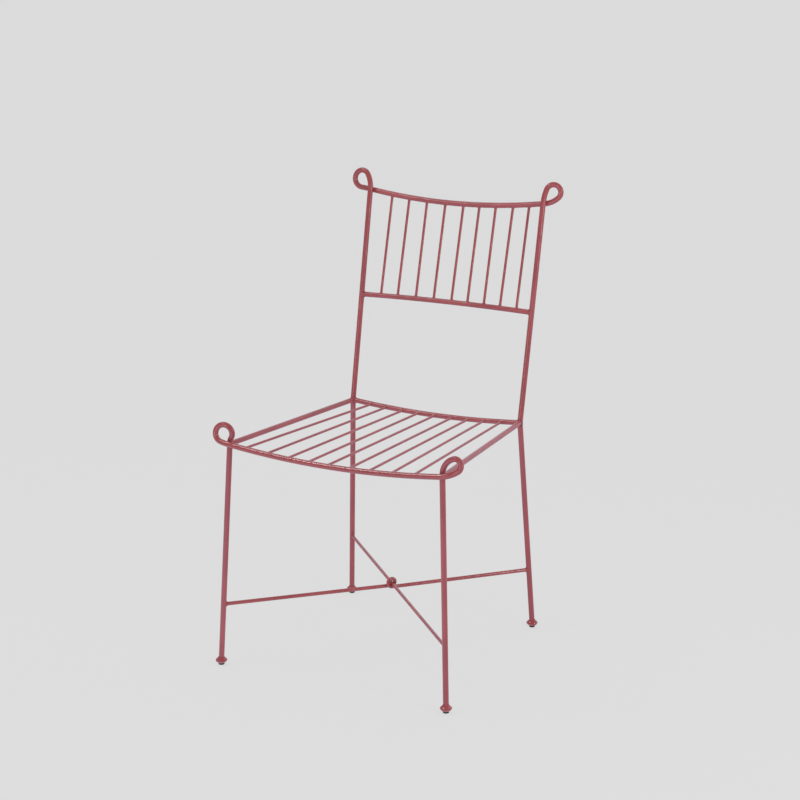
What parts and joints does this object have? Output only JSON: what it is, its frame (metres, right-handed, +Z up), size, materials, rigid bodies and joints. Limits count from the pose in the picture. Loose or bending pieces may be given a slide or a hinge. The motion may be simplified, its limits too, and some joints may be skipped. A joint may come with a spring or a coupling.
{
  "type": "metal bistro chair",
  "caption": "Rigid side chair of bent and welded iron bar: flared legs on ball feet, slatted seat, spindled back, curled corner loops and crossed stretchers.",
  "frame": {"origin": "on the floor, under the middle of the overall box", "axes": "+Z up; -Y towards the front of the chair, the way a sitter faces; +X towards the right of someone who looks at its front"},
  "size_m": [0.5334, 0.5542, 0.9168],
  "materials": {
    "paint": "semi-gloss dusty brick-red paint over forged bar, with a slightly wavy surface",
    "welds": "the same paint over rippled weld metal",
    "glide": "matt black moulded glide, scuffed underneath"
  },
  "bodies": {
    "root": {"front_frame": "paint", "rear_frame": "paint", "rear_seat_rail": "paint", "left_seat_rail": "paint", "right_seat_rail": "paint", "lower_back_rail": "paint", "back_spindle_1": "paint", "back_spindle_2": "paint", "back_spindle_3": "paint", "back_spindle_4": "paint", "back_spindle_5": "paint", "back_spindle_6": "paint", "back_spindle_7": "paint", "back_spindle_8": "paint", "back_spindle_9": "paint", "seat_slat_1": "paint", "seat_slat_2": "paint", "seat_slat_3": "paint", "seat_slat_4": "paint", "seat_slat_5": "paint", "seat_slat_6": "paint", "seat_slat_7": "paint", "seat_slat_8": "paint", "seat_slat_9": "paint", "eyed_stretcher": "paint", "straight_stretcher": "paint", "front_left_foot": "paint", "front_right_foot": "paint", "rear_left_foot": "paint", "rear_right_foot": "paint", "front_left_glide": "glide", "front_right_glide": "glide", "rear_left_glide": "glide", "rear_right_glide": "glide", "loop_welds": "welds", "seat_corner_welds": "welds", "back_welds": "welds", "slat_welds": "welds", "stretcher_welds": "welds", "foot_welds": "welds"}
  },
  "joints": []
}
